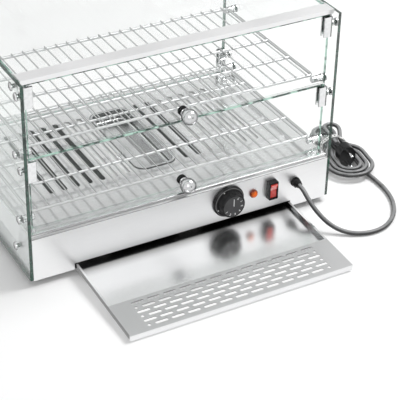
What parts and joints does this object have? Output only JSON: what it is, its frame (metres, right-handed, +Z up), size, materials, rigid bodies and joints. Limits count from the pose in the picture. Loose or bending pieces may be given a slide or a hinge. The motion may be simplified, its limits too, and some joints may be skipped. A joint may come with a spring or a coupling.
{
  "type": "heated display case",
  "caption": "Countertop heated display case: glass cabinet with flip-up doors, wire racks and slotted floor on a steel base with dial, lamp, rocker switch, crumb tray and cord.",
  "frame": {"origin": "on the floor, at the middle of the rectangle of the cabinet (the crumb tray and the cord left out)", "axes": "+Z up, the doors and controls face -Y, +X to the right seen from the front"},
  "size_m": [0.6305, 0.5056, 0.3246],
  "materials": {
    "stainless": "satin folded stainless sheet",
    "bright_steel": "bright polished stainless sheet",
    "clear_glass": "clear float glass with green edges",
    "chrome": "bright plated",
    "black_rubber": "matt black",
    "black_plastic": "satin black moulding",
    "cord_grey": "smooth dark grey sheath",
    "red_plastic": "glossy red moulding",
    "amber_lens": "glossy amber lens",
    "white_plastic": "matt white",
    "heater_sheath": "dull oxidised sheath"
  },
  "bodies": {
    "case": {"base_body": "stainless", "base_bolts": "chrome", "bottom_plate": "stainless", "cord_gland": "black_plastic", "cord_hank": "cord_grey", "cord_tie": "white_plastic", "door_pivots": "chrome", "floor_plate": "bright_steel", "foot_front_left": "black_rubber", "foot_front_right": "black_rubber", "foot_rear_left": "black_rubber", "foot_rear_right": "black_rubber", "front_panel": "stainless", "front_rail": "stainless", "gland_nut": "black_plastic", "heat_shield": "stainless", "heater_element": "heater_sheath", "heater_hangers": "stainless", "lamp_body": "black_plastic", "lamp_lens": "amber_lens", "left_glass": "clear_glass", "lower_pegs": "chrome", "lower_rack": "chrome", "pan_shelf": "stainless", "peg_screws": "chrome", "plug_body": "black_plastic", "plug_pins": "chrome", "power_cord": "cord_grey", "rail_screws": "chrome", "rear_clamps": "chrome", "rear_glass": "clear_glass", "rear_pane_pins": "chrome", "rear_rail": "stainless", "right_glass": "clear_glass", "switch_frame": "black_plastic", "terminal_block": "white_plastic", "thermostat_body": "black_plastic", "top_glass": "clear_glass", "tray_runner_left": "stainless", "tray_runner_right": "stainless", "upper_pegs": "chrome", "upper_rack": "chrome", "water_pan": "bright_steel"},
    "lower_door": {"lower_door_glass": "clear_glass", "lower_clamp_left": "chrome", "lower_clamp_right": "chrome", "lower_knob": "chrome", "lower_knob_washers": "black_rubber", "lower_knob_screw": "chrome"},
    "upper_door": {"upper_door_glass": "clear_glass", "upper_clamp_left": "chrome", "upper_clamp_right": "chrome", "upper_knob": "chrome", "upper_knob_washers": "black_rubber", "upper_knob_screw": "chrome"},
    "tray": {"crumb_tray": "bright_steel"},
    "dial": {"thermostat_knob": "black_plastic", "thermostat_shaft": "chrome"},
    "switch_rocker": {"rocker": "red_plastic"}
  },
  "joints": [
    {"name": "lower_door_lift", "type": "hinge", "parent": "case", "child": "lower_door", "pos_m": [0, -0.1505, 0.187], "axis": [-1, 0, 0], "range_deg": [0, 100]},
    {"name": "upper_door_lift", "type": "hinge", "parent": "case", "child": "upper_door", "pos_m": [0, -0.1505, 0.302], "axis": [-1, 0, 0], "range_deg": [0, 100]},
    {"name": "tray_slide", "type": "slide", "parent": "case", "child": "tray", "axis": [0, 0.9989, 0.0471], "range_m": [0, 0.175]},
    {"name": "dial_turn", "type": "hinge", "parent": "case", "child": "dial", "pos_m": [0.07, -0.165, 0.053], "axis": [0, 1, 0], "range_deg": [0, 270]},
    {"name": "rocker_tilt", "type": "hinge", "parent": "case", "child": "switch_rocker", "pos_m": [0.145, -0.171, 0.053], "axis": [-1, 0, 0], "range_deg": [0, 20]}
  ]
}
